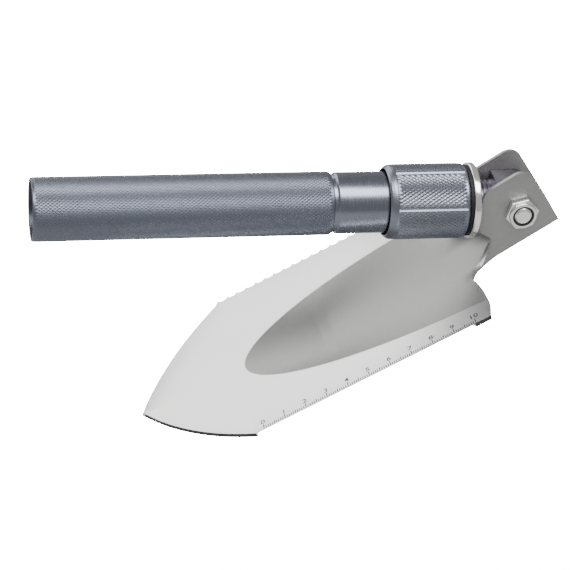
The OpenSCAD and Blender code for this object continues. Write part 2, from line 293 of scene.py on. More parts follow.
def knurl(piece, start, end, valley, depth, columns, along_pitch, grooves=()):
    """Cuts diamonds into a turned piece between two places along X.

    Lengthwise faces are cut into rows half a diamond long, and every other point is
    raised. At each angle in grooves a straight V runs through, with a level edge on
    both sides."""
    step = 2 * math.pi / columns
    rows = 4 * max(1, round((end - start) / along_pitch / 2))
    first = next(n for n in range(FIRST_PASS, 0, -1) if rows % n == 0)
    low, high = start * MM, end * MM
    margin = ON_END * MM

    def in_zone(vert):
        radius = math.hypot(vert.co.y, vert.co.z) / MM
        return abs(radius - valley) < ON_RADIUS and low - margin < vert.co.x < high + margin

    def lengthwise(edge):
        a, b = edge.verts
        return in_zone(a) and in_zone(b) and abs(a.co.x - b.co.x) > margin

    edit(piece)
    for cuts in (first - 1, rows // first - 1):
        if cuts > 0:
            select_by(piece, "edges", lengthwise)
            bpy.ops.mesh.subdivide(number_cuts=cuts)

    def place(vert):
        along = round((vert.co.x - low) / (high - low) * rows)
        around = round(math.atan2(vert.co.z, vert.co.y) / step)
        return along, around

    centres = [round(angle / step) for angle in grooves]

    def from_groove(around):
        """Columns between here and the nearest groove."""
        return min([abs((around - centre + columns // 2) % columns - columns // 2)
                    for centre in centres], default=columns)

    def crest(vert):
        along, around = place(vert)
        return (in_zone(vert) and 0 < along < rows and (along + around) % 2 == 0
                and from_groove(around) > 1)

    def groove_edge(vert):
        return in_zone(vert) and from_groove(place(vert)[1]) == 1

    def groove_floor(vert):
        return in_zone(vert) and from_groove(place(vert)[1]) == 0

    def zone_face(face):
        return all(in_zone(v) for v in face.verts)

    select_by(piece, "faces", zone_face)
    mesh = bmesh.from_edit_mesh(piece.data)
    zone = {face.index for face in mesh.faces if face.select}
    # Every place is read before any point moves, because the tests go by the radius.
    moves = [({vert.index for vert in mesh.verts if test(vert)}, rise) for test, rise in
             ((crest, depth), (groove_edge, 0.7 * depth), (groove_floor, -depth))]
    for chosen, rise in moves:
        if chosen:
            select_by(piece, "verts", lambda vert: vert.index in chosen)
            scale = (valley + rise) / valley
            bpy.ops.transform.resize(value=(1, scale, scale), center_override=(0, 0, 0))
    select_by(piece, "faces", lambda face: face.index in zone)
    bpy.ops.mesh.quads_convert_to_tris(quad_method="SHORTEST_DIAGONAL")
    leave_edit()


# ---- material helpers ----

def colour(text):
    """Linear colour from an sRGB hex value."""
    def linear(share):
        return share / 12.92 if share <= 0.04045 else ((share + 0.055) / 1.055) ** 2.4
    return (*[linear(int(text[i:i + 2], 16) / 255) for i in (0, 2, 4)], 1.0)


def add(tree, kind, links=None, values=None, **settings):
    """Adds a node, sets its settings and input values, and links its inputs."""
    made = tree.nodes.new(kind)
    for key, value in settings.items():
        setattr(made, key, value)
    for key, value in (values or {}).items():
        made.inputs[key].default_value = value
    for key, socket in (links or {}).items():
        tree.links.new(socket, made.inputs[key])
    return made


def new_material(name):
    material = bpy.data.materials.new(name)
    material.use_nodes = True
    tree = material.node_tree
    tree.nodes.clear()
    return material, tree


def finish_material(tree, shader):
    add(tree, "ShaderNodeOutputMaterial", links={"Surface": shader.outputs[0]})


def worn_metal(name, base, roughness, grain_mm, bump_mm, spread=0.06, stretch=(1, 1, 1),
               tint=0.06, painted_shade=None):
    """Metal with a fine grain: its roughness, shade and surface vary at the grain's size.

    The last argument is a painted shade, for the shade the handle and collar throw on the blade: a
    colour and two distances from the pivot along the blade, between which the metal goes from that
    colour to its own."""
    material, tree = new_material(name)
    place = add(tree, "ShaderNodeTexCoord").outputs["Object"]
    spread_out = add(tree, "ShaderNodeMapping", links={"Vector": place},
                     values={"Scale": stretch}).outputs[0]
    grain = add(tree, "ShaderNodeTexNoise", links={"Vector": spread_out},
                values={"Scale": 1 / (grain_mm * MM), "Detail": 4.0, "Roughness": 0.6})
    cloud = add(tree, "ShaderNodeTexNoise", links={"Vector": place},
                values={"Scale": 1 / (18 * MM), "Detail": 3.0})
    rough = add(tree, "ShaderNodeMapRange", links={"Value": grain.outputs["Fac"]},
                values={"From Min": 0.3, "From Max": 0.7,
                        "To Min": roughness - spread, "To Max": roughness + spread})
    shade = add(tree, "ShaderNodeMixRGB", links={"Fac": cloud.outputs["Fac"]},
                values={"Color1": tuple(c * (1 - tint) for c in colour(base)[:3]) + (1,),
                        "Color2": colour(base)})
    # Painted shade: nearer the pivot than the first distance the metal takes the darker colour, and
    # it fades to its own colour by the second.
    if painted_shade:
        painted_shade_colour, near, far = painted_shade
        along = Vector((-math.cos(FOLD_ANGLE), 0, -math.sin(FOLD_ANGLE)))
        start = along.dot(PIVOT)
        distance = add(tree, "ShaderNodeVectorMath", operation="DOT_PRODUCT",
                       links={0: place}, values={1: along}).outputs["Value"]
        reach = add(tree, "ShaderNodeMapRange", links={"Value": distance},
                    values={"From Min": (start + near) * MM, "From Max": (start + far) * MM})
        shade = add(tree, "ShaderNodeMixRGB",
                    links={"Fac": reach.outputs[0], "Color2": shade.outputs[0]},
                    values={"Color1": colour(painted_shade_colour)})
    bump = add(tree, "ShaderNodeBump", links={"Height": grain.outputs["Fac"]},
               values={"Strength": 0.5, "Distance": bump_mm * MM})
    shader = add(tree, "ShaderNodeBsdfPrincipled", values={"Metallic": 1.0},
                 links={"Base Color": shade.outputs[0], "Roughness": rough.outputs[0],
                        "Normal": bump.outputs[0]})
    finish_material(tree, shader)
    return material


def anodised_knurl():
    # Dyed anodised aluminium, knurled: a soft metal gloss that catches every diamond.
    return worn_metal("anodised aluminium, knurled", settings("knurl").colour, 0.34, 0.25, 0.01)


def anodised_tube():
    # The tube's knurl is finer and more worn, so it is a shade darker and softer.
    return worn_metal("anodised aluminium, fine knurl", settings("knurl").tube_colour, 0.4, 0.25,
                      0.01)


def anodised_turned():
    # The same anodised aluminium, finely turned: faint rings run round it.
    return worn_metal("anodised aluminium, turned", settings("knurl").colour, 0.27, 0.6, 0.003,
                      spread=0.03, stretch=(1, 0.08, 0.08))


def ground_steel():
    # Stainless sheet, ground on the rim: pale, with an even satin grain.
    # Towards the shoulder its colour goes over to a darker grey: painted shade, for the shade of the
    # handle and collar on the rim.
    return worn_metal("stainless steel, ground", settings("blade").rim_colour, 0.42, 0.35, 0.012,
                      painted_shade=("B8B8B6", 30, 78))


def blasted_steel():
    # Stainless sheet, bead-blasted in the trough and on the ears: darker and matt.
    return worn_metal("stainless steel, blasted", settings("blade").trough_colour, 0.5, 0.3, 0.02)


def sheared_steel():
    # The sheet's sheared edge, rough as it was cut, and dark: painted shade, for the edge's thickness
    # in shadow.
    return worn_metal("stainless steel, sheared", "4C4C4B", 0.55, 0.4, 0.02)


def nickel_plate():
    # Bright nickel plate on a turned washer: near white, with sharp reflections.
    return worn_metal("nickel plate", "F2F2F0", 0.16, 0.8, 0.003, spread=0.03)


def zinc_plate():
    # Bright zinc plate on bolt and nut: pale, slightly soft.
    return worn_metal("zinc plate", "F0F0EE", 0.24, 0.5, 0.006, spread=0.05)


def dark_anodised():
    # Turned and milled stem in a darker, slightly purple anodised finish.
    return worn_metal("anodised aluminium, dark", "8A8590", 0.34, 0.3, 0.01)


def moulded_plastic(name, base, roughness):
    """Moulded plastic: no metal, a faint grain in its gloss."""
    material, tree = new_material(name)
    place = add(tree, "ShaderNodeTexCoord").outputs["Object"]
    grain = add(tree, "ShaderNodeTexNoise", links={"Vector": place},
                values={"Scale": 1 / (0.4 * MM), "Detail": 2.0})
    rough = add(tree, "ShaderNodeMapRange", links={"Value": grain.outputs["Fac"]},
                values={"To Min": roughness - 0.08, "To Max": roughness + 0.08})
    bump = add(tree, "ShaderNodeBump", links={"Height": grain.outputs["Fac"]},
               values={"Strength": 0.3, "Distance": 0.01 * MM})
    shader = add(tree, "ShaderNodeBsdfPrincipled", values={"Base Color": colour(base)},
                 links={"Roughness": rough.outputs[0], "Normal": bump.outputs[0]})
    finish_material(tree, shader)
    return material


MATERIALS = {}


def material(maker, *values):
    """One copy of each material, made when it is first asked for."""
    key = (maker.__name__, *values)
    if key not in MATERIALS:
        MATERIALS[key] = maker(*values)
    return MATERIALS[key]


def paint(piece, *finishes):
    """Fills the material slots in order; a face keeps the number of its slot."""
    slots = piece.data.materials
    for index, finish in enumerate(finishes):
        if index < len(slots):
            slots[index] = finish
        else:
            slots.append(finish)


def settle(piece, body, slot, *replaced):
    """Says which body a piece rides on, and the frame nodes it stands for. slot is not used."""
    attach(piece, body)
    for name in replaced:
        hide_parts(name)


def settings(name):
    return getattr(bpy.context.scene, "shovel_" + name)


# ---- handle ----

TUBE_WALL, SEAT_WALL = 1.4, 1.2
SPIGOT_LENGTH, SPIGOT_RADIUS, SPIGOT_BORE = 14.0, 12.4, 10.0
STEM_SEAT, STEM_SEAT_DEPTH = 9.05, 21.0
# The knurl stops this far from the tube's open end and from its other end.
KNURL_OPEN_END, KNURL_FERRULE_END = 0.8, 1.2


def build_handle_tube():
    knurling = settings("knurl")
    length, outer = TUBE_HIGH.x, TUBE_HIGH.z
    bore, seat = outer - TUBE_WALL, outer - SEAT_WALL
    depth = knurling.tube_depth
    valley = outer - depth
    lip, seat_start = outer - 0.12, length - SPIGOT_LENGTH
    knurl_start, knurl_end = KNURL_OPEN_END, length - KNURL_FERRULE_END
    columns = 2 * round(2 * math.pi * outer / knurling.tube_round)
    profile = [
        (seat_start, bore), (0.35, bore), (0, bore + 0.3), (0, outer - 0.4), (0.25, lip),
        (0.55, lip), (knurl_start, valley), (knurl_end, valley), (length - 0.4, valley - 0.1),
        (length, valley - 0.4), (length, seat), (seat_start, seat)]
    piece = lathe("knurled_tube", profile, columns)
    knurl(piece, knurl_start, knurl_end, valley, depth, columns, knurling.tube_along)
    smooth(piece, 12)
    paint(piece, material(anodised_tube))
    settle(piece, "handle", "anodised", "handle_tube")


def build_ferrule():
    start, end, outer = FERRULE_LOW.x, FERRULE_HIGH.x, FERRULE_HIGH.z
    shoulder = TUBE_HIGH.x
    seat_end = end - STEM_SEAT_DEPTH
    profile = [
        (start, SPIGOT_BORE), (start, SPIGOT_RADIUS), (shoulder - 0.1, SPIGOT_RADIUS),
        (shoulder - 0.1, outer - 0.75), (shoulder + 1.5, outer - 0.7), (shoulder + 2.3, outer),
        (shoulder + 2.9, outer), (end - 0.5, outer), (end, outer - 0.5), (end, STEM_SEAT),
        (seat_end, STEM_SEAT), (seat_end, SPIGOT_BORE)]
    piece = lathe("turned_ferrule", profile, 128)
    round_edges(piece, 0.15, angle=25)
    smooth(piece)
    paint(piece, material(anodised_turned))
    settle(piece, "handle", "anodised_smooth", "ferrule")


# ---- collar, ring and washer ----

GROOVES = 6
GROOVE_TURN = math.radians(15.4)
MOUTH_RADIUS, MOUTH_DEPTH = 14.3, 19.0
COLLAR_NOSE, THREAD_BORE = 10.25, 9.07
RING_BORE = 10.32


def build_collar():
    knurling = settings("knurl")
    start, outer = COLLAR_LOW.x, COLLAR_HIGH.z
    end = RING_LOW.x - 0.05
    nose_end, mouth_end = COLLAR_HIGH.x, start + MOUTH_DEPTH
    depth = knurling.collar_depth
    valley = outer - depth
    columns = GROOVES * 2 * round(2 * math.pi * outer / knurling.collar_round / GROOVES)
    knurl_start, knurl_end = start + 3.4, end - 1.6
    profile = [
        (mouth_end, MOUTH_RADIUS), (start + 0.2, MOUTH_RADIUS), (start, MOUTH_RADIUS + 0.2),
        (start, MOUTH_RADIUS + 0.45),
        (start + 0.7, outer - 0.85), (start + 1.8, outer - 0.3), (start + 2.9, outer - 0.15),
        (knurl_start - 0.15, outer - 0.2), (knurl_start, valley), (knurl_end, valley),
        (knurl_end + 0.3, outer - 0.2), (end - 1.0, outer - 0.25), (end - 0.2, outer - 1.0),
        (end, outer - 1.5), (end, COLLAR_NOSE), (nose_end, COLLAR_NOSE), (nose_end, THREAD_BORE),
        (mouth_end, THREAD_BORE)]
    piece = lathe("knurled_collar", profile, columns)
    # The grooves are counted from -Y towards +Z.
    grooves = [math.pi - GROOVE_TURN - 2 * math.pi * i / GROOVES for i in range(GROOVES)]
    knurl(piece, knurl_start, knurl_end, valley, depth, columns,
          knurling.collar_along, grooves)
    smooth(piece, 12)
    paint(piece, material(anodised_knurl))
    settle(piece, "collar", "anodised", "lock_collar")


def plain_ring(name, low, high, segments):
    """A flat ring that fills a node's box, with square edges."""
    outer = high.z
    return lathe(name, [(low.x, RING_BORE), (high.x, RING_BORE), (high.x, outer), (low.x, outer)],
                 segments)


def build_rings():
    ring = plain_ring("friction_ring_black", RING_LOW, RING_HIGH, 96)
    round_edges(ring, 0.25, 3)
    smooth(ring)
    paint(ring, material(moulded_plastic, "moulded nylon, black", "020203", 0.7))
    settle(ring, "clamp", "black_plastic", "friction_ring")
    washer = plain_ring("bright_washer", WASHER_LOW, WASHER_HIGH, 128)
    round_edges(washer, 0.55, 4)
    smooth(washer)
    paint(washer, material(nickel_plate))
    settle(washer, "clamp", "bright_plate", "clamp_washer")


# ---- stem, bolt and nut ----

ACROSS_FLATS = 13.0
HEX_TURN = math.radians(15)
HEAD_HEIGHT = 5.3
BOLT_RADIUS, HOLE_RADIUS = 4.0, 4.05
# Height of the nut's round crown, and the width of metal round its insert.
CROWN_HEIGHT, CROWN_WALL = 1.5, 1.45


def build_stem():
    for name, maker in (("stem", dark_anodised), ("stem_pin", zinc_plate)):
        paint(frame["nodes"][name], material(maker))


def hexagon(name, y0, y1):
    """A hexagon bar along Y, round the pivot, from one place to another."""
    deselect()
    radius = ACROSS_FLATS / 2 / math.cos(math.pi / 6)
    bpy.ops.mesh.primitive_cylinder_add(vertices=6, radius=radius * MM, depth=(y1 - y0) * MM)
    piece = name_piece(name)
    centre = Vector((PIVOT.x, (y0 + y1) / 2, 0)) * MM
    turn = Matrix.Rotation(HEX_TURN, 4, "Y") @ AXIS_TURNS["Y"]
    apply_place(piece, Matrix.Translation(centre) @ turn)
    return piece


def build_bolt():
    tip, head_end = BOLT_LOW.y, BOLT_HIGH.y
    head_start = head_end - HEAD_HEIGHT
    shank = rod("bolt_shank", [
        (tip, 2.9), (tip + 0.25, 3.3), (tip + 0.8, BOLT_RADIUS),
        (head_start + 0.4, BOLT_RADIUS)], 64, "Y", (PIVOT.x, 0, 0))
    round_edges(shank, 0.12, angle=20)
    head = hexagon("bolt_head", head_start, head_end)
    round_edges(head, 0.5, 3)
    piece = join([shank, head], "hinge_bolt")
    smooth(piece)
    paint(piece, material(zinc_plate))
    settle(piece, "blade", "zinc_plate", "pivot_bolt")


def build_nut():
    face = NUT_LOW.y
    outside = INSERT_HIGH.z + CROWN_WALL
    hex_nut = hexagon("nut_hexagon", face + CROWN_HEIGHT, NUT_HIGH.y)
    round_edges(hex_nut, 0.45, 3)
    crown = lathe("nut_crown", [
        (face, 4.7), (face, outside - 0.5), (face + 0.25, outside - 0.15), (face + 0.8, outside),
        (face + 1.7, outside), (face + 1.7, 4.7)], 96, "Y", (PIVOT.x, 0, 0))
    round_edges(crown, 0.15, angle=20)
    piece = join([hex_nut, crown], "hinge_nut")
    smooth(piece)
    paint(piece, material(zinc_plate))
    settle(piece, "blade", "zinc_plate", "lock_nut")
    outer = INSERT_HIGH.z
    insert = lathe("nut_insert_ring", [
        (INSERT_LOW.y, HOLE_RADIUS), (INSERT_LOW.y, outer), (INSERT_HIGH.y, outer),
        (INSERT_HIGH.y, HOLE_RADIUS)], 64, "Y", (PIVOT.x, 0, 0))
    round_edges(insert, 0.12)
    smooth(insert)
    # The nylon insert is real, but its near-black colour is painted shade, for the shadow in the gap
    # between the bolt and the nut.
    paint(insert, material(moulded_plastic, "moulded nylon, grey", "1C1C1F", 0.5))
    settle(insert, "blade", "nut_nylon", "nut_insert")


# ---- blade ----

# Lengths along the blade are distances from the pivot. RIM is the height of the rim's face.
RIM = -12.2
SHOULDER, SIDE_END, TIP = 30.0, 142.0, 189.0
HALF_WIDTH, POINT_RADIUS = 52.0, 140.0
# The very tip is rounded: the arc starts NOSE_START before the point and ends NOSE_CUT before it.
NOSE_RADIUS, NOSE_START, NOSE_CUT = 5.7, 1.3, 0.7
# The trough's half width and depth at the shoulder, how its width runs out, the steepest
# fall of its walls as depth over half width, and of its floor at the nose.
TROUGH_HALF, TROUGH_END, TROUGH_DEPTH = 38.0, 139.0, 3.9
TROUGH_SHAPE, TROUGH_FALL, NOSE_SLOPE = 1.7, 0.27, 0.2
DISH, DISH_REACH = 3.0, 18.0
WEB_INNER, EAR_INNER, BEND = -13.4, 9.2, 1.6
EAR_REACH, EAR_TOP, EAR_CORNER = 12.0, 17.4, 6.0
# The cut edge of the neck is a parabola round (NECK, NECK_HALF) in the flat sheet.
NECK, NECK_HALF, NECK_CURVE = 20.0, 15.4, 0.04
# The shoulder's edge comes nearest at the crease and falls back to both sides: by how much,
# and over what width.
SHOULDER_CREST = 29.2
NECK_SIDE, CORNER_SIDE = (3.8, 18.0), (2.0, 14.0)
# The channel goes over to the blade up to NECK_BLEND; its walls reach LIP to the side there.
NECK_BLEND, LIP = 46.0, 18.0
# Where the channel's walls lean out, the angle that is left, and how wide the bend opens.
LEAN_START, LEAN_END, LEAN_LEFT, LEAN_RADIUS = 18.5, 36.0, 12.0, 16.0
# A tooth's lowest part as a share of its height, and how sharply it rises to its point.
TOOTH_ROOT, TOOTH_SHARPNESS = 0.12, 4
SAW_GAP = 6.0
# The grind under the ruler edge: where it starts, its width, and what is left at the edge.
GRIND_START, GRIND_WIDTH, GRIND_LEFT = SHOULDER + 9, 5.0, 0.2
# Columns of points across half the sheet that also make up the neck, and of those the web
# and its bend; columns past the crease; rows along the ears and round the point.
NECK_COLUMNS, CHANNEL_COLUMNS, RIM_COLUMNS = 13, 8, 11
CORNER_ROWS, EAR_ROWS, POINT_ROWS = 8, 24, 34
# Rows crowd round the point of each tooth, as shares of the pitch, and behind the trough's end.
TOOTH_ROWS = (0, 0.07, 0.16, 0.33, 0.5, 0.67, 0.84, 0.93)
TROUGH_ROWS = (0, 0.05, 0.2, 0.45)


def point_centre():
    start, end = Vector((SIDE_END, HALF_WIDTH)), Vector((TIP, 0))
    chord = end - start
    across = chord.normalized()
    rise = math.sqrt(POINT_RADIUS ** 2 - (chord.length / 2) ** 2)
    return (start + end) / 2 + rise * Vector((across.y, -across.x))


POINT_CENTRE = point_centre()


def half_width(u):
    if u <= SIDE_END:
        return HALF_WIDTH
    rise = POINT_RADIUS ** 2 - (u - POINT_CENTRE.x) ** 2
    width = max(0.0, POINT_CENTRE.y + math.sqrt(max(0.0, rise)))
    if u > TIP - NOSE_START:
        nose_centre = TIP - NOSE_CUT - NOSE_RADIUS
        width = math.sqrt(max(0.0, NOSE_RADIUS ** 2 - (u - nose_centre) ** 2))
    return width


def trough_half(u):
    share = max(0.0, (u - SHOULDER) / (TROUGH_END - SHOULDER))
    return TROUGH_HALF * math.sqrt(1 - share ** TROUGH_SHAPE) if share < 1 else 0.0


def dish(edge):
    return DISH * (1 - math.exp(-edge / DISH_REACH))


def trough_depth(u):
    crease = trough_half(u)
    floor = TROUGH_DEPTH + math.tan(LIFT) * (u - SHOULDER) - dish(half_width(u) - crease)
    return max(0.0, min(TROUGH_FALL * crease, floor, NOSE_SLOPE * (TROUGH_END - u)))


def face_w(u, v):
    """Height of the blade's upper face."""
    crease, across = trough_half(u), abs(v)
    height = RIM - dish(half_width(u) - max(across, crease))
    if across < crease:
        height -= trough_depth(u) * (1 - (across / crease) ** 2)
    return height


def ease(share):
    share = min(1.0, max(0.0, share))
    return share * share * (3 - 2 * share)


def channel_point(u, s):
    """Inner face of the channel: s runs across the web, round the bend and up the wall.

    Between the ears the walls stand upright; towards the blade they lean out and the bend
    opens, as in any sheet that is folded from a flat blank."""
    side = 1 if s >= 0 else -1
    s = abs(s)
    flat = EAR_INNER - BEND
    lean = ease((u - LEAN_START) / (LEAN_END - LEAN_START))
    turn = math.radians(90 * (1 - lean) + LEAN_LEFT * lean)
    radius = BEND * (1 - lean) + LEAN_RADIUS * lean
    here = min(turn, max(0.0, s - flat) / radius)
    wall = max(0.0, s - flat - radius * turn)
    across = min(s, flat) + radius * math.sin(here) + wall * math.cos(turn)
    up = WEB_INNER + radius * (1 - math.cos(here)) + wall * math.sin(turn)
    # From the ears' frame to the rim's frame.
    return Vector((u * math.cos(LIFT) + up * math.sin(LIFT), side * across,
                   -u * math.sin(LIFT) + up * math.cos(LIFT)))


def sheet_point(u, s):
    """Upper face of the pressed sheet, from the neck to the tip."""
    start = max(u, SHOULDER)
    plain = Vector((u, s, face_w(start, s) + math.tan(LIFT) * max(0, SHOULDER - u)))
    share = ease((NECK_BLEND - u) / (NECK_BLEND - SHOULDER))
    if share <= 0 or abs(s) > TROUGH_HALF:
        return plain
    side = 1 if s >= 0 else -1
    channel = channel_point(u, side * min(abs(s), LIP))
    beyond = ease((abs(s) - LIP) / (TROUGH_HALF - LIP))
    if beyond > 0:
        # Past the lip the sheet runs level to the crease.
        crease = Vector((u, s, face_w(start, TROUGH_HALF)))
        channel = Vector((u + (channel.x - u) * (1 - beyond),
                          channel.y + (s - channel.y) * (abs(s) - LIP) / (TROUGH_HALF - LIP),
                          channel.z + (crease.z - channel.z) * beyond))
    return plain.lerp(channel, share)


def shoulder_line(s):
    """Where the sheet's cut edge is, for a place across: it curves out to the shoulder."""
    beyond = abs(s) - TROUGH_HALF
    hollow, reach = NECK_SIDE if beyond < 0 else CORNER_SIDE
    swing = math.cos(math.pi / 2 * min(1.0, abs(beyond) / reach)) ** 2
    neck = NECK + math.sqrt(max(0.0, abs(s) - NECK_HALF) / NECK_CURVE)
    return min(SHOULDER_CREST + hollow * (1 - swing), neck)


def across_places(u):
    """Places across one half of the sheet; the first lie in the neck, one lies on the crease."""
    width = half_width(u)
    crease = max(trough_half(u), 0.02 * width)
    arc = BEND * math.pi / 2
    flat = EAR_INNER - BEND
    reach = NECK_CURVE * (SHOULDER_CREST + NECK_SIDE[0] - NECK) ** 2
    inner = [0, 2.6, 5.2, flat, flat + arc / 4, flat + arc / 2, flat + arc * 3 / 4, flat + arc,
             11.1, 12.2, 13.3, 14.4, NECK_HALF]
    inner += [NECK_HALF + reach * share for share in (0.02, 0.07, 0.16, 0.3, 0.45, 0.62, 0.8, 1)]
    inner += [26, 29, 32, 34.5, 36.5, 37.5, TROUGH_HALF]
    places = [s / TROUGH_HALF * crease for s in inner]
    rest = width - crease
    grind = min(GRIND_WIDTH, 0.4 * rest)
    outer = [min(0.9, 0.1 * rest)]
    outer += [share * (rest - grind) for share in (0.2, 0.4, 0.6, 0.75, 0.86, 0.94, 1)]
    outer += [rest - grind / 2, rest - 0.15 * grind, rest]
    return places + [crease + e for e in outer]


def tooth(u):
    """Height of the saw over the side at a distance from the pivot."""
    blade = settings("blade")
    share = ((SIDE_END - u) / blade.tooth_pitch) % 1.0
    rise = abs(2 * share - 1) ** TOOTH_SHARPNESS
    return blade.tooth_height * (TOOTH_ROOT + (1 - TOOTH_ROOT) * rise)


def stations():
    """Distances from the pivot at which the sheet has a row of points, and the saw's start."""
    pitch = settings("blade").tooth_pitch
    teeth = int((SIDE_END - SHOULDER - SAW_GAP) / pitch)
    saw_start = SIDE_END - teeth * pitch
    rows = [SHOULDER + (saw_start - SHOULDER) * i / CORNER_ROWS for i in range(CORNER_ROWS)]
    rows += [saw_start + pitch * (i + share) for i in range(teeth) for share in TOOTH_ROWS]
    rows += [TROUGH_END - behind for behind in TROUGH_ROWS]
    rows.append(SIDE_END)
    reach = TIP - NOSE_CUT - 0.02 - SIDE_END
    rows += [SIDE_END + reach * math.sin(math.pi / 2 * i / POINT_ROWS)
             for i in range(1, POINT_ROWS + 1)]
    return sorted(rows), saw_start


def bend_foot():
    """How much further it is round the sheet to a place on the wall than its height."""
    return EAR_INNER - BEND + BEND * math.pi / 2 - WEB_INNER - BEND


def ear_outline():
    """Ear above its bend, in the ears' frame: from the neck round the free edge to the end."""
    sweep = math.hypot(EAR_REACH - EAR_CORNER, EAR_TOP - EAR_CORNER) + EAR_CORNER
    flat = sweep - 1.3
    foot = flat * Vector((math.cos(EAR_ANGLE), math.sin(EAR_ANGLE)))
    up = Vector((-math.sin(EAR_ANGLE), math.cos(EAR_ANGLE)))
    lobe = foot - 10 * up
    notch = Vector((foot.x + 2.9, -3.6))
    start = Vector((NECK, NECK_HALF - bend_foot()))
    corner_point = Vector((notch.x, start.y))
    points = [start * (1 - t) ** 2 + corner_point * 2 * t * (1 - t) + notch * t * t
              for t in (0.15, 0.3, 0.45, 0.6, 0.75, 0.9, 1)]
    # The lobe between the notch and the flat is rounded.
    a, b = (notch - lobe).normalized(), (foot - lobe).normalized()
    points += [lobe + 1.6 * (a * (1 - t) ** 2 + b * t * t) for t in (0, 0.25, 0.5, 0.75, 1)]
    meet = EAR_ANGLE + math.acos(flat / sweep)
    high = math.asin(EAR_TOP / sweep)
    points += [sweep * Vector((math.cos(x), math.sin(x)))
               for x in (meet, meet + (high - meet) / 2, high)]
    centre = Vector((EAR_CORNER - EAR_REACH, EAR_TOP - EAR_CORNER))
    points += [centre + EAR_CORNER * Vector((math.cos(x), math.sin(x)))
               for x in [math.pi / 2 + math.pi / 2 * i / 14 for i in range(15)]]
    return points


def blade_matrix(angle):
    """From the blade's own frame to the row's frame."""
    along = Vector((-math.cos(angle), 0, -math.sin(angle)))
    up = Vector((-math.sin(angle), 0, math.cos(angle)))
    across = Vector((0, -1, 0))
    turn = Matrix((along, across, up)).transposed().to_4x4()
    return Matrix.Translation(PIVOT * MM) @ turn @ Matrix.Scale(MM, 4)


def add_strip(mesh, first, second, side, count):
    """Faces between two lines of points on one side of the sheet, all facing the same way."""
    faces = []
    for column in range(count - 1):
        quad = [first[side][column], first[side][column + 1], second[side][column + 1],
                second[side][column]]
        faces.append(mesh.faces.new(quad if side == 0 else quad[::-1]))
    return faces


def add_dish(mesh):
    """The blade itself: its lines of points, and its faces in the trough and on the rim."""
    rows, saw_start = stations()
    edge_places = across_places(SHOULDER)
    count = len(edge_places)
    grid = []
    for u in rows:
        share = (u - SHOULDER) / (NECK_BLEND - SHOULDER)
        line = []
        for side in (-1, 1):
            half = []
            for column, s in enumerate(across_places(u)):
                first = shoulder_line(edge_places[column])
                here = u if u >= NECK_BLEND else first + (NECK_BLEND - first) * share
                if column == count - 1 and side < 0 and saw_start <= u <= SIDE_END:
                    s = HALF_WIDTH + tooth(u)
                half.append(mesh.verts.new(sheet_point(here, side * s)))
            line.append(half)
        line[1][0] = line[0][0]
        grid.append(line)
    trough, rim = [], []
    crease = count - RIM_COLUMNS - 1
    for first, second, u in zip(grid, grid[1:], rows):
        for side in (0, 1):
            for column, face in enumerate(add_strip(mesh, first, second, side, count)):
                inside = column < crease and u < TROUGH_END - 0.01
                (trough if inside else rim).append(face)
    return grid, trough, rim


def add_ears(mesh, neck):
    """The neck's web and bends, run on to the end of the ears, and the ears' upright faces."""
    faces = []
    places = across_places(SHOULDER)[:CHANNEL_COLUMNS]
    walls = [list(reversed(half[CHANNEL_COLUMNS - 1:])) for half in neck]
    previous = neck
    for index in range(1, EAR_ROWS + 1):
        u = NECK - (NECK + EAR_REACH) * index / EAR_ROWS
        line = [[mesh.verts.new(channel_point(u, side * s)) for s in places] for side in (-1, 1)]
        line[1][0] = line[0][0]
        for side in (0, 1):
            faces += add_strip(mesh, line, previous, side, CHANNEL_COLUMNS)
            walls[side].append(line[side][CHANNEL_COLUMNS - 1])
        previous = line
    outline = ear_outline()
    for side, sign in ((0, -1), (1, 1)):
        for point in reversed(outline):
            upright = channel_point(LEAN_START, sign * (point.y + bend_foot()))
            ahead = (point.x - LEAN_START) * Vector((math.cos(LIFT), 0, -math.sin(LIFT)))
            walls[side].append(mesh.verts.new(upright + ahead))
        faces.append(mesh.faces.new(walls[side] if side == 0 else walls[side][::-1]))
    return faces


def build_sheet():
    """The pressed sheet as one upper face: blade, neck, web and both ears."""
    mesh = bmesh.new()
    grid, trough, rim = add_dish(mesh)
    trough += add_ears(mesh, [half[:NECK_COLUMNS] for half in grid[0]])
    for index, faces in enumerate((trough, rim)):
        for face in faces:
            face.material_index = index
    data = bpy.data.meshes.new("pressed_blade")
    mesh.normal_update()
    mesh.to_mesh(data)
    mesh.free()
    piece = bpy.data.objects.new("pressed_blade", data)
    bpy.context.scene.collection.objects.link(piece)
    return piece


def grind_ruler_edge(piece):
    """Weights for the sheet's thickness: it thins from below towards the ruler edge."""
    group = piece.vertex_groups.new(name="thickness")
    edge = HALF_WIDTH - 0.2
    for vert in piece.data.vertices:
        u, v = vert.co.x, vert.co.y
        weight = 1.0
        if GRIND_START < u < SIDE_END - 0.5 and v > HALF_WIDTH - GRIND_WIDTH:
            share = (HALF_WIDTH - v) / GRIND_WIDTH if v <= edge else 0
            weight = GRIND_LEFT + (1 - GRIND_LEFT) * share
        group.add([vert.index], weight, "REPLACE")
    return group


def drill_pivot(piece):
    """Drills the pivot's holes through both ears, while the piece is in the blade's frame."""
    deselect()
    bpy.ops.mesh.primitive_cylinder_add(vertices=64, radius=HOLE_RADIUS, depth=60,
                                        rotation=(math.pi / 2, 0, 0))
    drill = name_piece("drill")
    apply_modifier(piece, "BOOLEAN", "pivot hole", operation="DIFFERENCE", object=drill,
                   solver="EXACT")
    bpy.data.objects.remove(drill)


